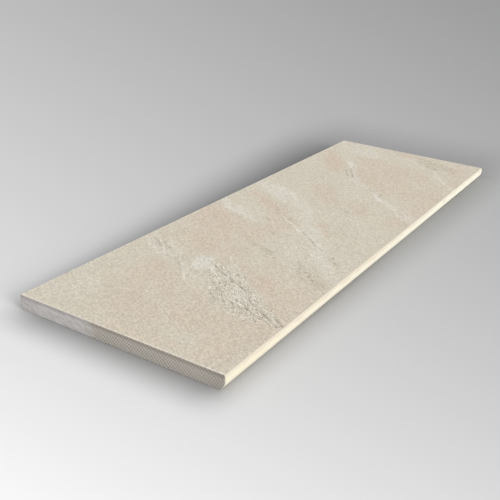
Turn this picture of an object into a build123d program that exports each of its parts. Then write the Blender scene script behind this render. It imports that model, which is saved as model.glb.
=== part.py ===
"""Pool coping stone: a flat slab whose long pool-side edge is ground to one shallow round nose.

The slab lies on its bed with +Z up. +X runs along the pool edge, and the nose faces -Y.
The origin is the middle of the bed.
"""

import math
import os

from build123d import *

# Driving dimensions, in millimetres
LENGTH = 900.0
WIDTH = 300.0  # from the nose's foremost line to the back edge
THICKNESS = 20.0
NOSE_TOP_SETBACK = 1.5  # how far the top's front edge stands behind the nose's foremost line
NOSE_FOOT_SETBACK = 7.0  # the same for the bed's front edge
NOSE_ARRIS = 1.0  # radius that takes the sharpness off both long edges of the nose
ARRIS = 0.7  # bevel along the back and the two ends

# The nose is the one arc that starts at the top's front edge, just touches the upright
# plane at the slab's full width, and runs out at the bed's front edge.
nose_step = NOSE_FOOT_SETBACK - NOSE_TOP_SETBACK
nose_chord = math.hypot(THICKNESS, nose_step)
nose_height = (
    NOSE_FOOT_SETBACK
    * (THICKNESS**2 - NOSE_TOP_SETBACK * nose_step)
    / (NOSE_FOOT_SETBACK * THICKNESS + math.sqrt(NOSE_TOP_SETBACK * NOSE_FOOT_SETBACK) * nose_chord)
)

front = -WIDTH / 2
back = WIDTH / 2
nose_top = (front + NOSE_TOP_SETBACK, THICKNESS)
nose_tip = (front, nose_height)
nose_foot = (front + NOSE_FOOT_SETBACK, 0)

with BuildPart() as coping_slab:
    # Section across the slab, drawn in Y and Z and run out both ways along X
    with BuildSketch(Plane.YZ):
        with BuildLine():
            ThreePointArc(nose_top, nose_tip, nose_foot)
            Polyline(nose_foot, (back, 0), (back, THICKNESS), nose_top)
        make_face()
    extrude(amount=LENGTH / 2, both=True)

    # Both long edges of the nose are softened
    long_edges = coping_slab.edges().filter_by(Axis.X)
    nose_edges = long_edges.sort_by(Axis.Y)[0:2]
    fillet(nose_edges, radius=NOSE_ARRIS)

    # The cut ends and the back are bevelled all round
    end_faces = coping_slab.faces().filter_by(Axis.X)
    back_face = coping_slab.faces().filter_by(Axis.Y)
    chamfer(end_faces.edges() + back_face.edges().filter_by(Axis.X), length=ARRIS)

coping_slab.part.label = "coping_slab"

os.makedirs("parts", exist_ok=True)
export_step(coping_slab.part, "parts/coping_slab.step")
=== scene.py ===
"""Looks of the pool coping stone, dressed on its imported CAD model.

One slab stands for the CAD solid. It keeps the solid's section and size, and adds what the solid
leaves out: the shallow relief and sandy stone print of the walked-on face, the cream ground nose,
the sawn ends and back, and the plain bed. Lengths are millimetres until a mesh is made.
"""

import math

import bpy
import numpy as np
from mathutils import Matrix, Vector


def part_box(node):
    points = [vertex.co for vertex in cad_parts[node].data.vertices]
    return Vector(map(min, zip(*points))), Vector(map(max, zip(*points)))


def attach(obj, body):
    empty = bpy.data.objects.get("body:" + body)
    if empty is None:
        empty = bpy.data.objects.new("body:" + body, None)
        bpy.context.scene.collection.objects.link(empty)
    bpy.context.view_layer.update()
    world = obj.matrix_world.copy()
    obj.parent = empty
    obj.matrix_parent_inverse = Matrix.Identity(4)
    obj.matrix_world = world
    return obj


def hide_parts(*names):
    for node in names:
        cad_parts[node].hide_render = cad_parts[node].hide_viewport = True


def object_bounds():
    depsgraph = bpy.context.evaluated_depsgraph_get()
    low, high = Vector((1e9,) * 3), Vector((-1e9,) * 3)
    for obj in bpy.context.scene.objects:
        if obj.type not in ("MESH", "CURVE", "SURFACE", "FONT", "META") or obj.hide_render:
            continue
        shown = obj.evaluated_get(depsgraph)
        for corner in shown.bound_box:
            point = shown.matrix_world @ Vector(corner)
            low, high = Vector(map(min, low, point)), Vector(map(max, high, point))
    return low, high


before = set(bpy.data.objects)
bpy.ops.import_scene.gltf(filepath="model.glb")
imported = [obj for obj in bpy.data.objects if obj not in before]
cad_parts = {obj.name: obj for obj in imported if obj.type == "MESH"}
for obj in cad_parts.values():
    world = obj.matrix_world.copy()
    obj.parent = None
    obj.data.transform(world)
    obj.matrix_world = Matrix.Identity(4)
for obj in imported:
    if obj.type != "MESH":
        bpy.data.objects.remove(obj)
cad_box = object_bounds()

MM = 0.001  # metres in a millimetre
NODE = "coping_slab"

# Section of the slab, as in the CAD model
NOSE_TOP_SETBACK = 1.5
NOSE_FOOT_SETBACK = 7.0
NOSE_ARRIS = 1.0
ARRIS = 0.7

# Mesh spacing
TOP_STEP = 1.5  # across the walked-on face
FINE_STATION = 1.0  # along the length, where the deepest relief lies
STATION = 2.7  # along the length elsewhere
FINE_FROM, FINE_TO = -350.0, -190.0  # X of the rough patch
NOSE_STEPS = 10
ARRIS_STEPS = 2
BED_STEPS = 2
BACK_STEPS = 2

# Order of the slab's materials
TOP, NOSE, SAWN, BED = range(4)


# Stone figure of the walked-on face

# How the stone runs: the angle from +X, at the near and the far end
FLOW_NEAR, FLOW_FAR = math.radians(52), math.radians(38)
# How the two kinds of strokes in rough ground lie to that
STEEP, LEVEL = math.radians(-8), math.radians(10)
STROKE_PITCH = 3.4  # from one wave of strokes to the next
STROKE_BEND = 6.0  # how far a wave swings to each side

BROAD_DRIFT, NARROW_DRIFT = 6.0, 3.0  # how far wide marks stray from their lines, in bends of two sizes
FINE_DRIFT = 0.15  # share of that for fine marks
SPECK_STRENGTH = 0.7

# Relief of the walked-on face
FACE_DROP = 0.20  # how far its mean height lies below the CAD face
SWELL, RIPPLE, GRAIN = 0.07, 0.03, 0.02  # broad waves, narrow ones and grains
WRINKLE_DEPTH = 0.12
CREST_HEIGHT = 0.10
CRACK_DEPTH = 0.35

# A random field repeats after this many cells, and the slab's middle lies on this one
LATTICE, LATTICE_MIDDLE = 256, 64

# Each mark is a line of places with X, Y and a half width, and then its strength.
# Pale bands and veins
PALE_LINES = (
    (((-10, 152, 13), (-32, 112, 12), (-66, 60, 6)), 0.75),
    (((106, 152, 12), (82, 98, 16), (54, 52, 19), (36, 26, 13)), 0.8),
    (((26, 14, 17), (-35, -22, 12), (-70, -44, 16)), 0.45),
    (((-66, -42, 8), (-112, -76, 17), (-148, -100, 15), (-188, -150, 8)), 0.65),
    (((-114, -72, 6), (-132, -88, 7)), 0.9),
    (((-140, -58, 10), (-170, -94, 10)), 0.45),
    (((-116, -108, 8), (-140, -134, 8)), 0.2),
    (((-106, -20, 12), (-136, -64, 12)), 0.4),
    (((-232, 40, 11), (-244, 29, 15), (-255, 20, 10)), 1.0),
    (((-229, 30, 8), (-252, 11, 9)), 0.9),
    (((-238, 10, 8), (-262, -28, 10), (-291, -70, 12), (-320, -130, 8)), 0.4),
    (((-224, 136, 5), (-240, 112, 6)), 0.5),
    (((96, -124, 8), (74, -150, 8)), 0.6),
    (((-280, 22, 7), (-292, 14, 8), (-310, 0, 5)), 0.2),
    (((-204, 142, 8), (-228, 104, 18), (-262, 60, 10)), 0.3),
    (((340, 84, 3), (298, 62, 6), (256, 42, 9), (218, 12, 9), (188, -16, 5)), 0.5),
    (((178, -38, 4), (148, -60, 7), (134, -84, 6), (108, -116, 6), (90, -150, 5)), 0.5),
    (((398, 8, 4), (404, -20, 4), (382, -46, 4), (356, -90, 4), (322, -112, 3), (280, -150, 3)), 0.4),
    (((444, 128, 24), (410, 96, 32), (384, 56, 18)), 0.5),
    (((-444, 132, 18), (-384, 112, 28)), 0.15),
)
# Tan and pinkish clouds
TAN_LINES = (
    (((-288, 78, 22), (-340, 50, 46), (-392, 0, 38)), 0.52),
    (((-54, 144, 16), (-110, 100, 44), (-184, 60, 32)), 0.85),
    (((-84, 74, 10), (-134, 24, 14)), 0.6),
    (((-236, -58, 10), (-250, -76, 17), (-264, -98, 10)), 1.0),
    (((-384, -30, 28), (-350, -120, 34)), 0.6),
    (((-430, -110, 24), (-300, -130, 26), (-240, -120, 20)), 0.6),
    (((-170, 6, 20), (-214, 10, 20)), 0.5),
    (((60, -130, 16), (150, -130, 22), (330, -130, 20)), 0.5),
    (((52, 128, 6), (16, 84, 12), (2, 60, 11)), 0.9),
    (((2, 52, 13), (-56, 8, 19), (-120, 40, 22)), 0.6),
    (((-14, -38, 5), (-34, -50, 8), (-52, -62, 4)), 0.95),
    (((150, 52, 14), (112, 22, 18), (88, -8, 12)), 0.6),
    (((114, -30, 10), (76, -62, 16)), 0.6),
    (((350, 44, 28), (280, -20, 58), (212, -62, 38), (196, -134, 34)), 0.6),
    (((358, 134, 9), (322, 112, 13), (284, 88, 17), (246, 66, 8)), 0.95),
    (((440, -110, 14), (372, -124, 20)), 0.5),
    (((-196, -56, 18), (-236, -130, 26)), 0.4),
    (((446, 30, 12), (430, -20, 14)), 0.6),
    (((-196, 128, 6), (-206, 112, 6)), 0.7),
    (((-208, -10, 8), (-222, -28, 12), (-240, -54, 10)), 0.6),
    (((-310, -12, 9), (-340, -40, 14)), 0.5),
    (((-442, 10, 12), (-438, -60, 14)), 0.5),
    (((320, -70, 14), (276, -96, 16), (240, -112, 12)), 0.5),
    (((276, 36, 8), (236, 2, 11), (204, -26, 8)), 0.8),
)
# Darker ground
DIM_LINES = (
    (((430, -30, 8), (410, -60, 12), (398, -92, 10), (390, -112, 7)), 0.65),
    (((448, 40, 10), (424, 4, 9)), 0.4),
    (((-160, -80, 8), (-190, -106, 16), (-210, -134, 8)), 0.2),
    (((-228, 102, 10), (-250, 66, 7)), 0.25),
    (((-294, -88, 5), (-306, -102, 7), (-318, -114, 6)), 0.4),
    (((404, -40, 8), (380, -72, 9), (352, -98, 6), (330, -116, 5)), 0.45),
    (((-150, -12, 5), (-156, -28, 7)), 0.3),
    (((-288, -18, 8), (-311, -47, 10), (-328, -98, 10)), 0.25),
    (((-120, -102, 6), (-140, -122, 6)), 0.2),
)
# Low ground with pale wrinkles
WRINKLE_LINES = (
    (((-236, 10, 9), (-250, -8, 16), (-265, -27, 21), (-288, -53, 27), (-305, -76, 24)), 1.0),
    (((-305, -76, 24), (-317, -100, 19), (-322, -118, 13)), 1.0),
    (((-296, -28, 9), (-316, -54, 12), (-329, -82, 12), (-334, -112, 10)), 0.85),
    (((-312, -112, 12), (-323, -134, 10), (-332, -152, 8)), 0.9),
    (((-214, 126, 7), (-230, 102, 12), (-246, 78, 9), (-268, 46, 6)), 0.55),
)
# Dark pits and short strokes
PIT_LINES = (
    (((-210, 130, 4), (-222, 112, 10), (-238, 90, 8)), 0.55),
    (((-140, 14, 5), (-146, 2, 5)), 0.5),
    (((-150, -14, 6), (-156, -28, 7)), 0.6),
    (((-160, -78, 8), (-190, -106, 17), (-210, -134, 8)), 0.6),
    (((284, 62, 4), (234, 32, 6)), 0.4),
    (((424, -30, 10), (408, -66, 18), (388, -104, 10)), 0.6),
    (((70, -30, 5), (60, -46, 6)), 0.4),
    (((-122, -104, 6), (-140, -122, 6)), 0.5),
    (((-330, -80, 8), (-342, -108, 6)), 0.5),
)
# The long crack of the rough patch
PATCH_CRACK = (
    (-229, 27, 0.7),
    (-240, 6, 1.0),
    (-250, -11, 0.8),
    (-260, -32, 1.0),
    (-268, -49, 0.9),
    (-276, -64, 0.7),
)
# Open cracks, and beside one crest a line of painted shadow
CRACK_LINES = (
    (((-58, -26, 1.0), (-81, -52, 1.3), (-95, -69, 1.3), (-104, -84, 0.9)), 0.8),
    (PATCH_CRACK, 0.85),
    (((-241, -38, 1.0), (-249, -46, 1.4)), 0.7),
    (((-302, -73, 0.9), (-308, -81, 1.4), (-314, -87, 1.3), (-317, -93, 1.2)), 0.85),
    (((-310, -108, 1.1), (-315, -114, 1.7), (-323, -128, 1.4), (-333, -141, 1.1)), 0.85),
    (((-312, -127, 0.9), (-318, -134, 1.3), (-327, -146, 1.3)), 0.8),
    (((-292, -78, 0.9), (-302, -90, 1.2)), 0.75),
    (((-310, -63, 0.9), (-314, -69, 1.2)), 0.8),
    (((-290, -28, 0.9), (-295, -33, 1.3)), 0.8),
    (((-323, -75, 0.8), (-318, -73, 1.0), (-314, -78, 1.0)), 0.6),
    (((-310, -99, 1.0), (-309, -106, 1.2)), 0.7),
    (((-212, 134, 0.9), (-219, 121, 1.3), (-231, 106, 1.0)), 0.5),
    (((-211, 115, 0.8), (-226, 101, 1.1)), 0.45),
    (((-234, 67, 0.9), (-255, 52, 1.2)), 0.45),
    (((-251, 63, 0.9), (-268, 48, 1.1)), 0.45),
    (((-139, 11, 1.6), (-144, 5, 1.8)), 0.5),
    (((-151, -16, 1.8), (-155, -27, 2.0)), 0.5),
    (((-88, 13, 1.2), (-96, -9, 1.5)), 0.6),
    (((-42, 46, 1.8), (-47, 39, 1.8)), 0.7),
    (((8, 56, 2.0), (-10, 46, 2.0), (-28, 24, 1.6), (-31, 2, 1.4)), 0.45),
    (((266, 58, 1.4), (235, 39, 2.0)), 0.65),
    (((272, 51, 1.4), (231, 25, 2.0)), 0.65),
    # Painted shadow beside the crest that stands up from X 190 to 176
    (((186, -20, 1.0), (180, -38, 1.7)), 0.5),
    (((158, -55, 1.8), (177, -54, 1.6)), 0.5),
    (((-300, -24, 0.9), (-316, -42, 1.2)), 0.6),
)
# Dark specks, each with its half width
SPECKS = (
    (-163, 6, 1.8),
    (-167, -39, 1.8),
    (-88, 25, 2.0),
    (-26, 12, 2.0),
    (-182, -98, 2.4),
    (-192, -107, 2.6),
    (-159, -74, 2.2),
    (-178, -86, 1.8),
    (-198, -117, 2.2),
    (-118, -108, 1.8),
    (-133, -117, 2.2),
    (-243, -29, 2.0),
    (-293, -39, 1.8),
    (-278, -32, 1.4),
    (-279, -67, 1.4),
    (-267, -34, 1.5),
    (-272, -63, 1.4),
    (-285, -78, 1.5),
    (-303, -40, 1.4),
    (-255, 7, 1.6),
    (-342, -102, 1.6),
    (-335, -114, 1.6),
    (-323, -62, 1.4),
    (-227, 96, 2.2),
    (60, -42, 3.0),
    (328, 28, 2.6),
    (405, -102, 3.2),
    (408, -39, 2.6),
    (389, -62, 3.2),
    (381, -77, 3.4),
    (378, -115, 2.8),
)
# Crests that stand up beside the veins
CREST_LINES = (
    (((318, 80, 2.0), (296, 61, 4.0), (286, 56, 2.0)), 0.75),
    (((190, -16, 1.6), (176, -36, 2.4)), 0.55),
    (((166, -48, 1.2), (148, -60, 2.8), (136, -74, 1.2)), 0.6),
    (((134, -84, 1.2), (126, -96, 2.8), (112, -110, 1.2)), 0.6),
    (((358, -84, 1.8), (320, -110, 2.6), (293, -131, 2.4), (276, -148, 2.2)), 0.5),
    (((306, -120, 2.0), (276, -148, 2.6)), 0.8),
    (((136, -66, 1.4), (123, -95, 2.0)), 0.35),
    (((110, -116, 1.6), (93, -144, 1.6)), 0.4),
    (((-10, 46, 1.4), (-37, 8, 1.9), (-62, -24, 1.4)), 0.85),
    (((88, 75, 1.6), (60, 50, 2.0)), 0.55),
    (((-200, 9, 1.2), (-217, -6, 1.7), (-231, -24, 1.2)), 0.6),
    (((-207, 107, 1.0), (-231, 87, 1.4)), 0.6),
    (((-258, 51, 1.0), (-274, 36, 1.5), (-297, 17, 1.3)), 0.6),
    (((-305, -67, 2.4), (-310, -75, 2.8)), 1.0),
    (((-285, -14, 1.0), (-297, -23, 1.3)), 0.7),
    (((-271, -12, 1.2), (-276, -16, 1.6)), 1.0),
    (((-297, -48, 1.3), (-299, -54, 1.6)), 0.9),
    (((-293, -58, 1.2), (-299, -63, 1.5)), 0.8),
    (((-305, -60, 1.2), (-308, -65, 1.4)), 0.8),
    (((-307, -76, 0.9), (-313, -83, 1.4), (-318, -89, 1.2)), 0.9),
    (((-286, -62, 1.0), (-292, -69, 1.4), (-299, -81, 1.2)), 0.8),
    (((-293, -84, 1.6), (-298, -91, 2.0)), 0.9),
    (((-246, 9, 1.2), (-257, -1, 1.4)), 0.8),
    (((-260, -17, 1.0), (-264, -26, 1.2)), 0.7),
    (((-271, -46, 1.0), (-277, -56, 1.2)), 0.7),
    (((-317, -119, 1.0), (-322, -129, 1.2)), 0.7),
    (((-320, -128, 1.0), (-329, -142, 1.2)), 0.8),
    (((-303, -105, 1.2), (-309, -114, 1.4)), 0.7),
)


def smooth(low, high, value):
    """Goes smoothly from 0 at low to 1 at high."""
    t = np.clip((value - low) / (high - low), 0, 1)
    return t * t * (3 - 2 * t)


def clouds(u, v, cell, seed):
    """A smooth random field from -1 to 1 whose blobs are about one cell across."""
    lattice = np.random.default_rng(seed).uniform(-1, 1, (LATTICE, LATTICE))
    u, v = u / cell + LATTICE_MIDDLE, v / cell + LATTICE_MIDDLE
    i, j = np.floor(u).astype(int), np.floor(v).astype(int)
    a, b = smooth(0, 1, u - i), smooth(0, 1, v - j)
    left, right = i % LATTICE, (i + 1) % LATTICE
    front, behind = j % LATTICE, (j + 1) % LATTICE
    near = lattice[left, front] * (1 - a) + lattice[right, front] * a
    far = lattice[left, behind] * (1 - a) + lattice[right, behind] * a
    return near * (1 - b) + far * b


def along_flow(x, y, half_length):
    """Coordinates along and across the stone's run."""
    angle = FLOW_NEAR + (FLOW_FAR - FLOW_NEAR) * (x + half_length) / (2 * half_length)
    return x * np.cos(angle) + y * np.sin(angle), y * np.cos(angle) - x * np.sin(angle)


def strongest(x, y, lines, fade):
    """How strongly any of these lines marks each place. Fade is how soft a line's edge is, up to 1."""
    mark = np.zeros(x.shape)
    for places, strength in lines:
        gap = np.full(x.shape, np.inf)
        for (x0, y0, half0), (x1, y1, half1) in zip(places, places[1:]):
            dx, dy = x1 - x0, y1 - y0
            t = np.clip(((x - x0) * dx + (y - y0) * dy) / (dx * dx + dy * dy), 0, 1)
            away = np.hypot(x - x0 - t * dx, y - y0 - t * dy)
            gap = np.minimum(gap, away / (half0 + t * (half1 - half0)))
        mark = np.maximum(mark, strength * smooth(1 + fade, 1 - fade, gap))
    return mark


def relief(x, y, s, t, wrinkle, crest, crack):
    """Height of the stone from the CAD face, and never above it."""
    slant = math.tan(STEEP)
    folds = clouds((s + slant * t) / 5, t - slant * s, 2.4, 31) + 0.5 * clouds(s / 6, t, 2.0, 32)
    height = SWELL * clouds(s / 3, t, 22, 33) + RIPPLE * clouds(s / 4, t, 6, 34)
    height += GRAIN * clouds(x, y, 3.1, 35) - FACE_DROP
    height -= WRINKLE_DEPTH * wrinkle * (1 + folds)
    height += CREST_HEIGHT * crest - CRACK_DEPTH * crack
    return np.minimum(height, 0)


def stone_figure(x, y, half_length, back):
    """The marks of the stone at each place of the top, by name, and its height from the CAD face."""
    s, t = along_flow(x, y, half_length)
    drift_x = BROAD_DRIFT * clouds(s, t, 30, 11) + NARROW_DRIFT * clouds(s, t, 9, 12)
    drift_y = BROAD_DRIFT * clouds(s, t, 30, 13) + NARROW_DRIFT * clouds(s, t, 9, 14)
    wide_x, wide_y = x + drift_x, y + drift_y
    fine_x, fine_y = x + FINE_DRIFT * drift_x, y + FINE_DRIFT * drift_y

    streaks = clouds(s / 5, t, 6, 21) + 0.7 * clouds(s / 4, t, 2.8, 22)
    bands = clouds(s / 3, t, 24, 23)
    veil = 0.55 + 0.45 * smooth(-0.6, 0.4, clouds(s / 2.5, t, 16, 27))
    pale = strongest(wide_x, wide_y, PALE_LINES, 0.5) * veil * (1 + 0.25 * streaks)
    pale += 0.10 * bands + 0.10 * streaks
    tan = strongest(wide_x, wide_y, TAN_LINES, 0.8) - 0.12 * bands - 0.10 * streaks
    wrinkle = strongest(fine_x, fine_y, WRINKLE_LINES, 0.6)
    wrinkle = smooth(0.05, 0.95, wrinkle + 0.3 * clouds(s / 2.5, t, 6, 24) * smooth(0, 0.4, wrinkle))
    pits = np.maximum(wrinkle, strongest(fine_x, fine_y, PIT_LINES, 0.7))
    dim = strongest(fine_x, fine_y, DIM_LINES, 0.7)
    filled = 0.4 + 0.6 * smooth(-0.7, 0.3, clouds(s, t, 5, 25))
    crack = strongest(fine_x, fine_y, CRACK_LINES, 0.6) * filled
    for speck_x, speck_y, half in SPECKS:
        away = np.hypot(fine_x - speck_x, fine_y - speck_y)
        crack = np.maximum(crack, SPECK_STRENGTH * smooth(1.5, 0.5, away / half))
    worn = 0.5 + 0.5 * smooth(-0.8, 0.4, clouds(s, t, 6, 26))
    crest = strongest(fine_x, fine_y, CREST_LINES, 0.7) * worn
    return {
        "pale": np.clip(pale, 0, 1),
        "tan": np.clip(tan, 0, 1),
        "dim": dim,
        "wrinkle": wrinkle,
        "pits": pits,
        "crack": crack,
        "crest": crest,
        "rim": np.minimum(half_length - np.abs(x), back - y),
        "flow": np.stack([s + 0.5 * drift_x, t + 0.5 * drift_y, np.zeros(x.shape)], -1),
        "height": relief(x, y, s, t, wrinkle, crest, crack),
    }


# The slab's mesh


def arc(centre, radius, start, end, steps):
    """Points from start to end round a centre, without the first one; angles are in radians."""
    angles = np.linspace(start, end, steps + 1)[1:]
    return [(centre[0] + radius * math.cos(a), centre[1] + radius * math.sin(a)) for a in angles]


def section(front, back, thickness):
    """Outline of the slab in Y and Z, from the top's back edge round by the nose.

    With it come the material of each run and the number of points on the top.
    """
    step = NOSE_FOOT_SETBACK - NOSE_TOP_SETBACK
    reach = math.sqrt(NOSE_TOP_SETBACK * NOSE_FOOT_SETBACK) * math.hypot(thickness, step)
    tip = NOSE_FOOT_SETBACK * (thickness**2 - NOSE_TOP_SETBACK * step)
    tip /= NOSE_FOOT_SETBACK * thickness + reach
    radius = (NOSE_FOOT_SETBACK**2 + tip**2) / (2 * NOSE_FOOT_SETBACK)
    centre = (front + radius, tip)

    # The small arcs that ease both edges of the nose lie inside its big one
    rise = thickness - NOSE_ARRIS - tip
    drop = NOSE_ARRIS - tip
    inner = radius - NOSE_ARRIS
    upper = (centre[0] - math.sqrt(inner**2 - rise**2), thickness - NOSE_ARRIS)
    lower = (centre[0] - math.sqrt(inner**2 - drop**2), NOSE_ARRIS)
    upper_turn = math.pi - math.asin(rise / inner)
    lower_turn = math.pi - math.asin(drop / inner)

    points, kinds = [], []

    def run(more, kind):
        points.extend(more)
        kinds.extend([kind] * len(more))

    def straight(start, end, steps):
        share = np.arange(1, steps + 1) / steps
        return [(start[0] + (end[0] - start[0]) * a, start[1] + (end[1] - start[1]) * a) for a in share]

    first = (back - ARRIS, thickness)
    points.append(first)
    top_steps = round((first[0] - upper[0]) / TOP_STEP)
    run(straight(first, (upper[0], thickness), top_steps), TOP)
    run(arc(upper, NOSE_ARRIS, math.pi / 2, upper_turn, ARRIS_STEPS), NOSE)
    run(arc(centre, radius, upper_turn, lower_turn, NOSE_STEPS), NOSE)
    run(arc(lower, NOSE_ARRIS, lower_turn, 3 * math.pi / 2, ARRIS_STEPS), NOSE)
    run(straight((lower[0], 0), (back - ARRIS, 0), BED_STEPS), BED)
    run([(back, ARRIS)], SAWN)
    run(straight((back, ARRIS), (back, thickness - ARRIS), BACK_STEPS), SAWN)
    kinds.append(SAWN)  # the last bevel, back to the first point
    return np.array(points), np.array(kinds), top_steps + 1


def drawn_in(outline, by):
    """The outline with each point moved inwards."""
    ahead, behind = np.roll(outline, -1, 0) - outline, outline - np.roll(outline, 1, 0)
    ahead /= np.linalg.norm(ahead, axis=1)[:, None]
    behind /= np.linalg.norm(behind, axis=1)[:, None]
    way = ahead + behind
    inward = np.stack([-way[:, 1], way[:, 0]], 1)
    return outline + by * inward / np.linalg.norm(inward, axis=1)[:, None]


def stations(half_length):
    """Places along the length, closer together where the relief is deepest."""
    edge = half_length - ARRIS
    spans = ((-edge, FINE_FROM, STATION), (FINE_FROM, FINE_TO, FINE_STATION), (FINE_TO, edge, STATION))
    places = [np.linspace(a, b, round((b - a) / step), endpoint=False) for a, b, step in spans]
    return np.concatenate([[-half_length], *places, [edge, half_length]])


def slab_faces(rows, count):
    """Faces between the rows of points, and then the two ends."""
    index = np.arange(rows * count).reshape(rows, count)
    along = np.roll(index, -1, 1)
    quads = np.stack([index[:-1], along[:-1], along[1:], index[1:]], 2).reshape(-1, 4)
    return quads.tolist() + [index[0, ::-1].tolist(), index[-1].tolist()]


def face_materials(kinds, rows):
    """Material of each face: sawn at the ends and their bevels, and by its run elsewhere."""
    bands = np.tile(kinds, (rows - 1, 1))
    bands[[0, -1]] = SAWN
    return np.concatenate([bands.ravel(), [SAWN, SAWN]]).astype(np.int32)


def keep_marks(mesh, figure, rows, count):
    """Keeps the stone's marks on the points of the top, where the material finds them."""
    for name, values in figure.items():
        whole = np.zeros((rows, count, *values.shape[2:]), np.float32)
        whole[:, : values.shape[1]] = values
        kind, field = ("FLOAT_VECTOR", "vector") if values.ndim == 3 else ("FLOAT", "value")
        mesh.attributes.new(name, kind, "POINT").data.foreach_set(field, whole.ravel())


def dressed_slab(low, high):
    """The slab with its relief, as one closed mesh."""
    half_length, front, back, thickness = high[0] / MM, low[1] / MM, high[1] / MM, high[2] / MM
    outline, kinds, top_count = section(front, back, thickness)
    xs = stations(half_length)
    rows, count = len(xs), len(outline)

    x = np.repeat(xs[:, None], count, 1)
    y = np.repeat(outline[None, :, 0], rows, 0)
    z = np.repeat(outline[None, :, 1], rows, 0)
    figure = stone_figure(x[:, :top_count], y[:, :top_count], half_length, back)
    z[:, :top_count] += figure.pop("height")

    # Each end is drawn in by one bevel
    for row in (0, -1):
        inner = drawn_in(np.stack([y[row], z[row]], 1), ARRIS)
        y[row], z[row] = inner[:, 0], inner[:, 1]

    points = np.stack([x, y, z], 2).reshape(-1, 3) * MM
    materials = face_materials(kinds, rows)
    mesh = bpy.data.meshes.new("dressed_slab")
    mesh.from_pydata(points.tolist(), [], slab_faces(rows, count))
    mesh.polygons.foreach_set("material_index", materials)
    mesh.polygons.foreach_set("use_smooth", np.isin(materials, (TOP, NOSE)))
    keep_marks(mesh, figure, rows, count)
    mesh.update()
    slab = bpy.data.objects.new("dressed_slab", mesh)
    bpy.context.scene.collection.objects.link(slab)
    return slab


# Materials

NOISE_SPAN = (0.3, 0.7)  # most of a noise lies between these
SHINE = 0.3  # of every face of the slab


def srgb(red, green, blue):
    """A colour as seen on screen, from 0 to 255, as the linear one that nodes take."""
    screen = (c / 255 for c in (red, green, blue))
    linear = (c / 12.92 if c <= 0.04045 else ((c + 0.055) / 1.055) ** 2.4 for c in screen)
    return (*linear, 1.0)


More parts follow.
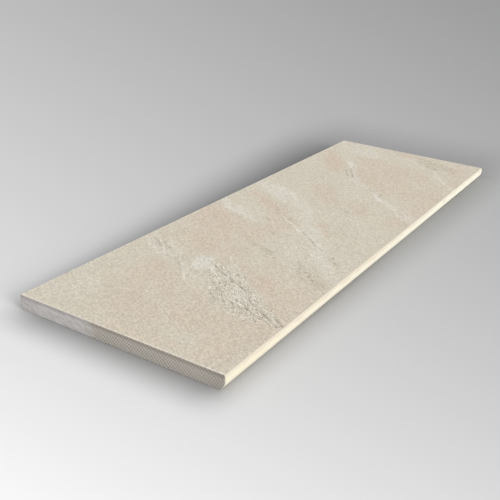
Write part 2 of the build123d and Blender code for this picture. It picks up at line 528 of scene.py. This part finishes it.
class Shader:
    """Short calls for one material's node tree, in millimetres of the slab's own frame."""

    def __init__(self, name):
        self.material = bpy.data.materials.new(name)
        self.material.use_nodes = True
        self.tree = self.material.node_tree
        self.surface = self.tree.nodes["Principled BSDF"]
        place = self.tree.nodes.new("ShaderNodeTexCoord").outputs["Object"]
        self.place = self.moved(place, scale=(MM, MM, MM))

    def node(self, kind, **settings):
        made = self.tree.nodes.new("ShaderNode" + kind)
        for key, value in settings.items():
            setattr(made, key, value)
        return made

    def feed(self, socket, value):
        if isinstance(value, bpy.types.NodeSocket):
            self.tree.links.new(value, socket)
        else:
            socket.default_value = value

    def moved(self, vector, turn=0.0, scale=(1, 1, 1)):
        """The place turned about Z and counted in lengths of scale."""
        made = self.node("Mapping", vector_type="TEXTURE")
        self.feed(made.inputs["Vector"], vector)
        made.inputs["Rotation"].default_value = (0, 0, turn)
        made.inputs["Scale"].default_value = scale
        return made.outputs["Vector"]

    def axes(self):
        """The place's X, Y and Z, in millimetres."""
        apart = self.node("SeparateXYZ")
        self.feed(apart.inputs["Vector"], self.place)
        return apart.outputs["X"], apart.outputs["Y"], apart.outputs["Z"]

    def joined(self, x, y):
        made = self.node("CombineXYZ")
        self.feed(made.inputs["X"], x)
        self.feed(made.inputs["Y"], y)
        return made.outputs["Vector"]

    def mark(self, name, output="Fac"):
        return self.node("Attribute", attribute_name=name).outputs[output]

    def noise(self, cell, detail=2.0, over=None, turn=0.0, stretch=1.0, distortion=0.0):
        """Noise from 0 to 1 with blobs about one cell across, stretched along the turned X."""
        made = self.node("TexNoise")
        cells = self.moved(over or self.place, turn, (cell * stretch, cell, cell))
        self.feed(made.inputs["Vector"], cells)
        made.inputs["Scale"].default_value = 1.0
        made.inputs["Detail"].default_value = detail
        made.inputs["Distortion"].default_value = distortion
        return made.outputs["Fac"]

    def ripples(self, pitch, over, turn, bend):
        """Waves from -1 to 1 along the turned X, one pitch apart and bent sideways."""
        apart = self.node("SeparateXYZ")
        self.feed(apart.inputs["Vector"], self.moved(over, turn))
        across = self.total(apart.outputs["Y"], bend)
        return self.maths("SINE", self.product(across, 2 * math.pi / pitch))

    def grains(self, cell):
        """A random number from 0 to 1 for each grain about one cell across."""
        made = self.node("TexVoronoi")
        self.feed(made.inputs["Vector"], self.moved(self.place, scale=(cell, cell, cell)))
        made.inputs["Scale"].default_value = 1.0
        apart = self.node("SeparateColor")
        self.feed(apart.inputs["Color"], made.outputs["Color"])
        return apart.outputs["Red"]

    def maths(self, operation, a, b=0.0):
        made = self.node("Math", operation=operation)
        self.feed(made.inputs[0], a)
        self.feed(made.inputs[1], b)
        return made.outputs["Value"]

    def total(self, *values):
        result = values[0]
        for value in values[1:]:
            result = self.maths("ADD", result, value)
        return result

    def product(self, *values):
        result = values[0]
        for value in values[1:]:
            result = self.maths("MULTIPLY", result, value)
        return result

    def ranged(self, value, low, high, to_low=0.0, to_high=1.0):
        """The value taken from one range to another, held at its ends."""
        made = self.node("MapRange", interpolation_type="SMOOTHSTEP")
        for name, number in (
            ("Value", value),
            ("From Min", low),
            ("From Max", high),
            ("To Min", to_low),
            ("To Max", to_high),
        ):
            self.feed(made.inputs[name], number)
        return made.outputs["Result"]

    def swing(self, noise, low, high):
        """The usual range of a noise taken to low and high."""
        return self.ranged(noise, *NOISE_SPAN, low, high)

    def blend(self, share, first, second):
        made = self.node("Mix", data_type="RGBA")
        self.feed(made.inputs["Factor"], share)
        self.feed(made.inputs["A"], first)
        self.feed(made.inputs["B"], second)
        return made.outputs["Result"]

    def shaded(self, colour, amount):
        """The colour made lighter or darker by a factor."""
        made = self.node("VectorMath", operation="SCALE")
        self.feed(made.inputs["Vector"], colour)
        self.feed(made.inputs["Scale"], amount)
        return made.outputs["Vector"]

    def finish(self, colour, roughness, height, depth):
        """Joins the results to the surface. Depth is the bump's, in millimetres."""
        bump = self.node("Bump")
        bump.inputs["Distance"].default_value = depth * MM
        self.feed(bump.inputs["Height"], height)
        self.feed(self.surface.inputs["Base Color"], colour)
        self.feed(self.surface.inputs["Roughness"], roughness)
        self.feed(self.surface.inputs["Normal"], bump.outputs["Normal"])
        self.surface.inputs["Specular IOR Level"].default_value = SHINE
        return self.material


def rough_strokes(s, flow):
    """Strokes of rough ground, from 0 to 1: steep in some places and level in others."""
    level = s.ranged(s.noise(15.0, 1.0, over=flow), 0.42, 0.58)
    steep = s.maths("SUBTRACT", 1.0, level)
    bend = s.ranged(s.noise(4.0, 2.0, over=flow, stretch=5.0), 0.25, 0.75, -STROKE_BEND, STROKE_BEND)
    fold = s.noise(0.85, 0.0, over=flow, turn=STEEP, stretch=9.0, distortion=0.2)
    seam = s.noise(0.95, 0.0, over=flow, turn=LEVEL, stretch=10.0, distortion=0.2)
    waves = s.total(
        s.product(s.ripples(STROKE_PITCH, flow, STEEP, bend), steep),
        s.product(s.ripples(STROKE_PITCH, flow, LEVEL, bend), level),
    )
    blots = s.total(s.product(fold, steep), s.product(seam, level))
    return s.total(s.product(waves, 0.14), s.product(blots, 0.5), 0.25)


def top_material():
    """Sandy stone print: base, tan clouds, pale veins, wrinkled ground, cracks and grain."""
    s = Shader("printed_top")
    sand, tan, pale = srgb(207, 199, 182), srgb(206, 190, 172), srgb(217, 212, 200)
    dim_sand, dark_line, light_spot = srgb(186, 174, 154), srgb(147, 134, 113), srgb(235, 231, 219)
    crack_brown, crest_white, rim_cream = srgb(150, 136, 116), srgb(229, 226, 214), srgb(226, 220, 206)

    flow = s.mark("flow", "Vector")
    wrinkle = s.mark("wrinkle")
    grit = s.grains(1.9)
    fine = s.noise(1.3, 2.0)
    coarse = s.noise(4.2, 2.0)
    streak = s.noise(2.6, 3.0, over=flow, stretch=5.0)
    pit = s.noise(2.2, 1.0, over=flow, stretch=2.5)
    strokes = rough_strokes(s, flow)

    colour = s.blend(s.mark("tan"), sand, tan)
    colour = s.blend(s.mark("pale"), colour, pale)
    crest = s.product(s.mark("crest"), s.ranged(streak, 0.3, 0.55, 0.3, 1.0))
    colour = s.blend(crest, colour, crest_white)

    # Rough ground, cracks and the worn rim
    dim = s.mark("dim")
    light = s.product(wrinkle, s.ranged(strokes, 0.51, 0.63), s.ranged(dim, 0, 1, 0.88, 0.5))
    dark = s.product(s.mark("pits"), s.ranged(strokes, 0.47, 0.34), s.ranged(pit, 0.70, 0.45, 0.5, 0.9))
    crack = s.product(s.mark("crack"), s.ranged(pit, 0.7, 0.45, 0.3, 1.0))
    colour = s.blend(s.product(dim, s.ranged(pit, 0.62, 0.38, 0.15, 0.75)), colour, dim_sand)
    colour = s.blend(light, colour, light_spot)
    colour = s.blend(dark, colour, dark_line)
    colour = s.blend(crack, colour, crack_brown)
    colour = s.blend(s.ranged(s.mark("rim"), 4.5, 0.8, 0.0, 0.6), colour, rim_cream)

    grain = s.total(
        s.ranged(grit, 0, 1, -0.10, 0.10),
        s.swing(fine, -0.10, 0.10),
        s.swing(coarse, -0.04, 0.05),
        s.swing(streak, 0.96, 1.04),
    )
    colour = s.shaded(colour, grain)

    roughness = s.ranged(s.total(fine, s.product(wrinkle, 0.3)), 0.2, 1.0, 0.62, 0.9)
    height = s.total(s.product(fine, 0.4), s.product(grit, 0.2), s.product(strokes, wrinkle, 2.0))
    return s.finish(colour, roughness, height, 0.22)


def nose_material():
    """Ground and rubbed body: cream, rosier and darker by the top as painted shade, paler towards the far
    end partly as painted light, and along the foot painted shade in the near half and painted light at
    the far end.
    """
    s = Shader("ground_nose")
    near_cream, cream, far_cream_and_light = srgb(212, 205, 182), srgb(215, 208, 189), srgb(226, 223, 205)
    # Rosier and darker by the top as painted shade
    rosy_shade, far_rosy_shade = srgb(193, 183, 166), srgb(201, 194, 177)
    # Along the foot: painted shade in the near half, painted light at the far end
    near_foot_shade, foot_shade, far_foot_light = srgb(208, 202, 187), srgb(186, 180, 165), srgb(242, 239, 223)
    specks = srgb(186, 174, 152)
    # Where each change along the nose, and up it, begins and ends
    along, near_end, near_foot_end, far_foot_end = (-300, 400), (-250, -430), (-200, -320), (-200, 120)
    rosy_shade_height, foot_height = (13.0, 18.0), (10.0, 4.0)

    x, _, z = s.axes()
    rub = s.noise(5.0, 3.0, stretch=6.0)
    grit = s.grains(0.8)
    # Paler towards the far end: partly its own tone, partly painted light
    colour = s.blend(s.ranged(x, *along), cream, far_cream_and_light)
    colour = s.blend(s.ranged(x, *near_end), colour, near_cream)
    # Painted shade: the top of the nose rosier and darker
    upper = s.ranged(s.total(z, s.swing(rub, -2.0, 2.0)), *rosy_shade_height, 0.0, 0.9)
    colour = s.blend(upper, colour, s.blend(s.ranged(x, *along), rosy_shade, far_rosy_shade))
    # Painted shade along the foot in the near half, painted light along it at the far end
    near_lower = s.blend(s.ranged(x, *near_foot_end), foot_shade, near_foot_shade)
    lower = s.blend(s.ranged(x, *far_foot_end), near_lower, far_foot_light)
    colour = s.blend(s.ranged(z, *foot_height, 0.0, 0.9), colour, lower)
    colour = s.blend(s.ranged(grit, 0.9, 1.0, 0.0, 0.35), colour, specks)
    colour = s.shaded(colour, s.swing(rub, 0.98, 1.02))
    roughness = s.swing(rub, 0.45, 0.58)
    return s.finish(colour, roughness, grit, 0.02)


def sawn_material():
    """Sawn body: a cross hatch from the saw, dust towards the back, a brown band under the top edge,
    painted shade at both corners and painted light by the bed.
    """
    s = Shader("sawn_edge")
    ridge, groove = srgb(197, 190, 181), srgb(147, 141, 132)
    dust, dark_dust, brown_band = srgb(201, 198, 196), srgb(182, 178, 175), srgb(126, 113, 103)
    hatch = ((5.6, -5.2, 0.9), (3.4, 4.6, 0.6))  # saw lines both ways: spacing along and up, strength
    dust_edge = (28, 46)  # Y where the dust begins, and where it covers the hatch
    # Heights where the brown band under the top edge has faded out and where it is full, below and above
    band_foot, band_head = (13.5, 18.4), (20.6, 19.0)
    # Where painted shade makes the two corners darker, and where painted light makes the edge by the bed
    # lighter
    back_corner, front_corner, bed_edge = (112, 150), (-112, -150), (0, 3)

    x, y, z = s.axes()
    run = s.maths("ADD", x, y)
    smear = s.noise(2.6, 3.0, over=s.joined(run, z), turn=math.radians(18), stretch=5.0)
    grit = s.grains(1.3)
    wavy = s.total(run, s.swing(s.noise(12.0, 2.0), -0.8, 0.8))

    def saw_lines(along, up, strength):
        phase = s.total(s.product(wavy, 2 * math.pi / along), s.product(z, 2 * math.pi / up))
        return s.product(s.maths("SINE", phase), strength)

    lines = s.total(*(saw_lines(*way) for way in hatch))
    lines = s.product(lines, s.swing(s.noise(7.0, 2.0), 0.5, 1.3), s.ranged(y, -40, -130, 1.1, 0.65))

    dusty = s.ranged(s.total(y, s.swing(smear, -8.0, 8.0)), *dust_edge)
    colour = s.blend(s.ranged(lines, -1.6, 1.6), groove, ridge)
    colour = s.blend(dusty, colour, s.blend(s.ranged(smear, 0.35, 0.65), dark_dust, dust))
    under_edge = s.product(s.ranged(z, *band_foot), s.ranged(z, *band_head))
    colour = s.blend(s.product(under_edge, s.ranged(dusty, 0, 1, 0.52, 0.4)), colour, brown_band)
    # Painted shade towards both corners, and painted light along the edge by the bed
    painted_corner_shade_and_bed_light = s.product(
        s.ranged(y, *back_corner, 1.0, 0.88),
        s.ranged(y, *front_corner, 1.0, 0.85),
        s.ranged(z, *bed_edge, 1.15, 1.0),
    )
    colour = s.shaded(colour, s.product(painted_corner_shade_and_bed_light, s.ranged(grit, 0, 1, 0.95, 1.05)))
    roughness = s.ranged(grit, 0.0, 1.0, 0.7, 0.85)
    return s.finish(colour, roughness, s.total(grit, lines), 0.04)


def bed_material():
    """Plain fired underside with fine sanding."""
    s = Shader("plain_bed")
    body, powder = srgb(206, 195, 178), srgb(217, 209, 196)
    cloud = s.noise(30.0, 4.0)
    grit = s.grains(1.0)
    colour = s.blend(s.ranged(cloud, 0.35, 0.7), body, powder)
    colour = s.shaded(colour, s.ranged(grit, 0, 1, 0.95, 1.05))
    return s.finish(colour, s.ranged(grit, 0, 1, 0.8, 0.92), grit, 0.08)


# Studio

# Where the photographer stood, from the middle of the slab's bed
CAMERA_AZIMUTH, CAMERA_ELEVATION, CAMERA_ROLL = (math.radians(a) for a in (-58.86, 23.90, 2.78))
CAMERA_DISTANCE, CAMERA_RIGHT, CAMERA_UP = 1202.0, -87.3, -35.0
SENSOR, LENS = 36.0, 54.25
CLIP_NEAR, CLIP_FAR = 0.01, 100  # metres

KEY_AZIMUTH, KEY_ELEVATION, KEY_SPREAD = (math.radians(a) for a in (-12, 13, 34))
KEY_LEVEL = 0.95  # what a white surface that faces the lamp gets from it
SKY_LEVEL = 0.787  # what it gets from all round

FLOOR_HALF = 20.0  # metres
# Paper grey, with painted fall-off of light over the floor
PAPER_GREY = 0.769  # of the paper under the slab's middle, on screen
PAPER_CHANGE = (0.000336, 0.000369)  # for each millimetre of X and of Y
PAPER_EASING = (0.000651, 0.000396)  # how that change slows down, for the same
PAPER_NEAR = (-700, -450)  # nearer than this in X and in Y it changes no more
PAPER_FAR_FROM, PAPER_FAR = 5500, 14000  # where it turns as light as the sky
PAPER_LIGHT = 0.97  # it gets no lighter than this on screen
SCREEN_GAMMA = 2.2

# Painted shadow on the paper: a soft dark rim round the slab
RIM_DEPTH, RIM_NEAR_DEPTH = 0.52, 0.555  # along the slab, and at its near end
RIM_DEEPER = 0.45  # share of the half length where the near end's depth begins
# How far outside each edge the rim is half as deep, and how far to both sides of that it fades
RIM_NEAR, RIM_NEAR_FADE = 26, 35
RIM_FAR, RIM_FAR_FADE = 75, 260
RIM_FRONT, RIM_FRONT_FADE = 7, 52
RIM_BACK, RIM_BACK_FADE = 54, 75
RIM_FRONT_SKEW, RIM_BACK_SKEW = 0.012, 0.125  # how its front and back get wider along X
RIM_GROWTH, RIM_LEAST, RIM_MOST = 0.0009, 0.3, 1.1  # how they get softer along X, and within what factors


def turned(azimuth, elevation):
    """Direction towards a place round the slab; azimuth 0 is in front of the nose."""
    flat = math.cos(elevation)
    return Vector((math.sin(azimuth) * flat, -math.cos(azimuth) * flat, math.sin(elevation)))


def camera_stand():
    """The camera's right, up and back, and its place in millimetres."""
    back = turned(CAMERA_AZIMUTH, CAMERA_ELEVATION)
    level = Vector((math.cos(CAMERA_AZIMUTH), math.sin(CAMERA_AZIMUTH), 0))
    plumb = back.cross(level)
    right = level * math.cos(CAMERA_ROLL) + plumb * math.sin(CAMERA_ROLL)
    up = plumb * math.cos(CAMERA_ROLL) - level * math.sin(CAMERA_ROLL)
    return right, up, back, back * CAMERA_DISTANCE + right * CAMERA_RIGHT + up * CAMERA_UP


def place_camera():
    """The camera at the photograph's viewing angle."""
    right, up, back, eye = camera_stand()
    data = bpy.data.cameras.new("camera")
    data.sensor_width, data.lens = SENSOR, LENS
    data.clip_start, data.clip_end = CLIP_NEAR, CLIP_FAR
    camera = bpy.data.objects.new("camera", data)
    camera.matrix_world = Matrix.Translation(eye * MM) @ Matrix((right, up, back)).transposed().to_4x4()
    bpy.context.scene.collection.objects.link(camera)
    bpy.context.scene.camera = camera


def light_studio():
    """One broad soft lamp and an even white sky."""
    data = bpy.data.lights.new("key", "SUN")
    data.energy, data.angle = KEY_LEVEL * math.pi, KEY_SPREAD
    key = bpy.data.objects.new("key", data)
    key.rotation_mode = "QUATERNION"
    key.rotation_quaternion = turned(KEY_AZIMUTH, KEY_ELEVATION).to_track_quat("Z", "Y")
    bpy.context.scene.collection.objects.link(key)
    world = bpy.data.worlds.new("sky")
    world.use_nodes = True
    sky = world.node_tree.nodes["Background"]
    sky.inputs["Color"].default_value = (1, 1, 1, 1)
    sky.inputs["Strength"].default_value = SKY_LEVEL
    bpy.context.scene.world = world


def slope(s, start, change, place):
    """A value that changes evenly with X and Y."""
    return s.total(s.product(place[0], change[0]), s.product(place[1], change[1]), start)


def paper_painted_falloff(s, place):
    """The paper by itself, with painted fall-off of light: light before the near end and darker towards
    the far one.
    """
    held = [s.maths("MAXIMUM", axis, least) for axis, least in zip(place, PAPER_NEAR)]
    grey = s.maths("DIVIDE", slope(s, PAPER_GREY, PAPER_CHANGE, held), slope(s, 1.0, PAPER_EASING, held))
    grey = s.maths("POWER", s.maths("MINIMUM", grey, PAPER_LIGHT), SCREEN_GAMMA)
    away = s.node("VectorMath", operation="LENGTH")
    s.feed(away.inputs["Vector"], s.place)
    far = s.ranged(away.outputs["Value"], PAPER_FAR_FROM, PAPER_FAR)
    return s.total(s.product(grey, s.maths("SUBTRACT", 1.0, far)), s.product(far, SKY_LEVEL))


def painted_shadow_share(s, place):
    """The share of the paper's light that its painted shadow, a soft dark rim round the slab, leaves."""
    half_length, half_width = cad_box[1][0] / MM, cad_box[1][1] / MM
    growth = s.maths("MAXIMUM", slope(s, 1.0, (RIM_GROWTH, 0), place), RIM_LEAST)
    growth = s.maths("MINIMUM", growth, RIM_MOST)
    near = slope(s, half_length + RIM_NEAR, (1, 0), place)
    far = slope(s, half_length + RIM_FAR, (-1, 0), place)
    front = s.maths("DIVIDE", slope(s, half_width + RIM_FRONT, (RIM_FRONT_SKEW, 1), place), growth)
    back = s.maths("DIVIDE", slope(s, half_width + RIM_BACK, (RIM_BACK_SKEW, -1), place), growth)
    rim = s.product(
        s.ranged(near, -RIM_NEAR_FADE, RIM_NEAR_FADE),
        s.ranged(far, -RIM_FAR_FADE, RIM_FAR_FADE),
        s.ranged(front, -RIM_FRONT_FADE, RIM_FRONT_FADE),
        s.ranged(back, -RIM_BACK_FADE, RIM_BACK_FADE),
    )
    depth = s.ranged(place[0], -RIM_DEEPER * half_length, -half_length, RIM_DEPTH, RIM_NEAR_DEPTH)
    return s.maths("SUBTRACT", 1.0, s.product(rim, depth))


def floor_material():
    """Matt grey paper with painted fall-off of light and a painted soft shadow round the slab."""
    s = Shader("floor_paper")
    s.surface.inputs["Roughness"].default_value = 0.9
    s.surface.inputs["Specular IOR Level"].default_value = 0.0
    place = s.axes()[:2]
    # The paper's painted fall-off of light, times its painted shadow round the slab
    s.feed(s.surface.inputs["Base Color"], s.product(paper_painted_falloff(s, place), painted_shadow_share(s, place)))
    return s.material


def lay_floor():
    """A wide sheet of paper at the height of the slab's bed."""
    corners = [(a * FLOOR_HALF, b * FLOOR_HALF, 0) for a, b in ((-1, -1), (1, -1), (1, 1), (-1, 1))]
    mesh = bpy.data.meshes.new("floor")
    mesh.from_pydata(corners, [], [(0, 1, 2, 3)])
    mesh.materials.append(floor_material())
    floor = bpy.data.objects.new("floor", mesh)
    bpy.context.scene.collection.objects.link(floor)


def build():
    """Dresses the slab and sets up the studio."""
    slab = dressed_slab(*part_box(NODE))
    for make in (top_material, nose_material, sawn_material, bed_material):
        slab.data.materials.append(make())
    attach(slab, "root")
    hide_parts(NODE)
    place_camera()
    light_studio()
    lay_floor()
    bpy.context.scene.view_settings.view_transform = "Standard"


build()
